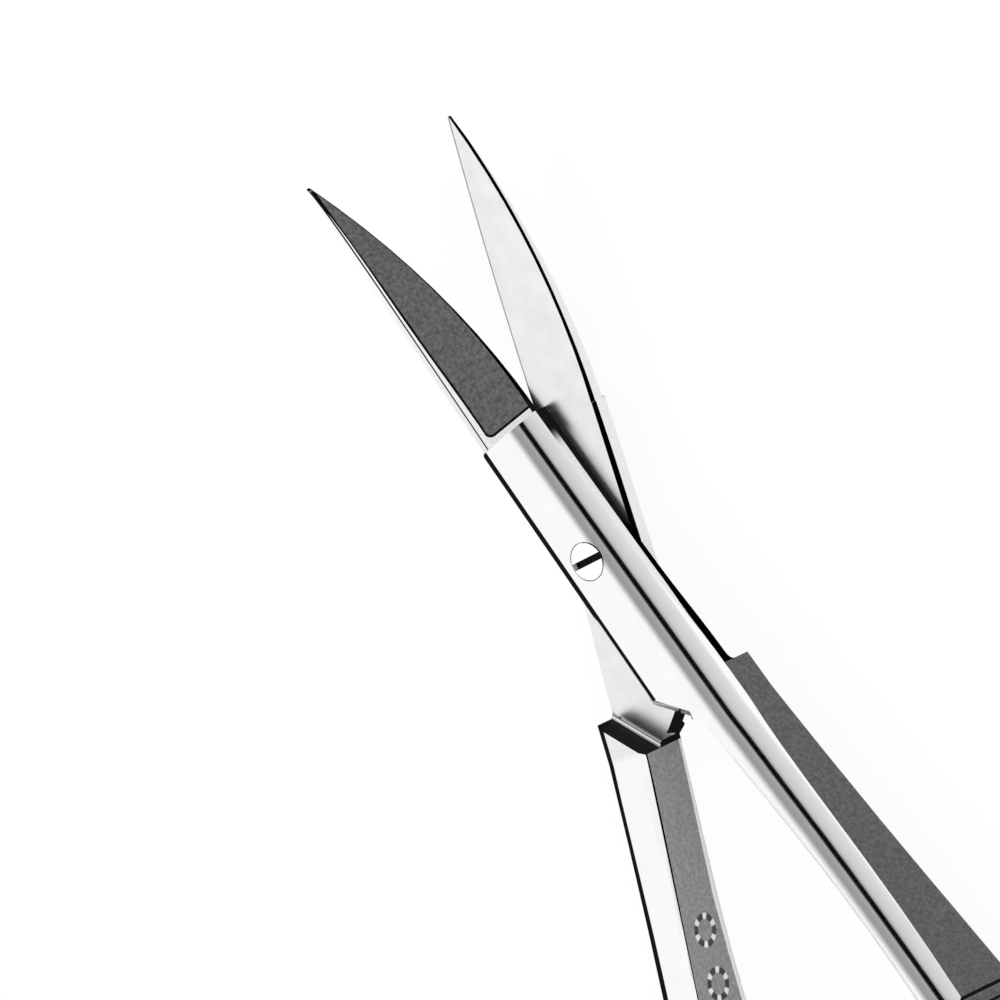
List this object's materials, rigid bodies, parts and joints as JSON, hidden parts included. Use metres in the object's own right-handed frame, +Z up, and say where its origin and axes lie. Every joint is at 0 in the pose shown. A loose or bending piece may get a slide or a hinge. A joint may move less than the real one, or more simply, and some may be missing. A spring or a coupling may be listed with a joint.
{
  "type": "castroviejo scissors",
  "caption": "Spring-handled micro scissors: curved pointed blades on a screw joint, two slim handles and leaf springs joined at a tail pin.",
  "frame": {"origin": "centre of the bounding box on the surface it rests on, handles open at rest", "axes": "+Y to the blade tips, +Z up along the joint screw's axis, the blades curving up"},
  "size_m": [0.034, 0.1362, 0.0062],
  "materials": {
    "arm_steel": "polished edges and lap, matte ground faces",
    "screw_steel": "ground flush and polished",
    "spring_steel": "satin, drawn along the leaf",
    "rivet_steel": "satin, faced flat",
    "pin_steel": "turned"
  },
  "bodies": {
    "upper_arm": {"upper_arm": "arm_steel", "upper_front_rivet": "rivet_steel", "upper_rear_rivet": "rivet_steel"},
    "lower_arm": {"lower_arm": "arm_steel", "joint_screw": "screw_steel", "lower_front_rivet": "rivet_steel", "lower_rear_rivet": "rivet_steel", "stop_pin": "pin_steel"},
    "upper_spring": {"upper_spring": "spring_steel", "tail_pin": "pin_steel"},
    "lower_spring": {"lower_spring": "spring_steel"}
  },
  "joints": [
    {"name": "joint_pivot", "type": "hinge", "parent": "upper_arm", "child": "lower_arm", "pos_m": [0, 0.0439, 0.0031], "axis": [0, 0, 1], "range_deg": [0, 25], "stiffness_Nm_per_rad": 0.15},
    {"name": "upper_spring_flex", "type": "hinge", "parent": "upper_arm", "child": "upper_spring", "pos_m": [0.01837, -0.03397, 0.0031], "axis": [0, 0, 1], "range_deg": [0, 40.22], "deforming": ["upper_spring"]},
    {"name": "lower_spring_flex", "type": "hinge", "parent": "lower_arm", "child": "lower_spring", "pos_m": [-0.01837, -0.03397, 0.0031], "axis": [0, 0, 1], "range_deg": [-40.22, 0], "deforming": ["lower_spring"]}
  ],
  "couplings": [
    {"joint": "upper_spring_flex", "follows": "joint_pivot", "ratio": 1.6067},
    {"joint": "lower_spring_flex", "follows": "joint_pivot", "ratio": -1.6067}
  ]
}
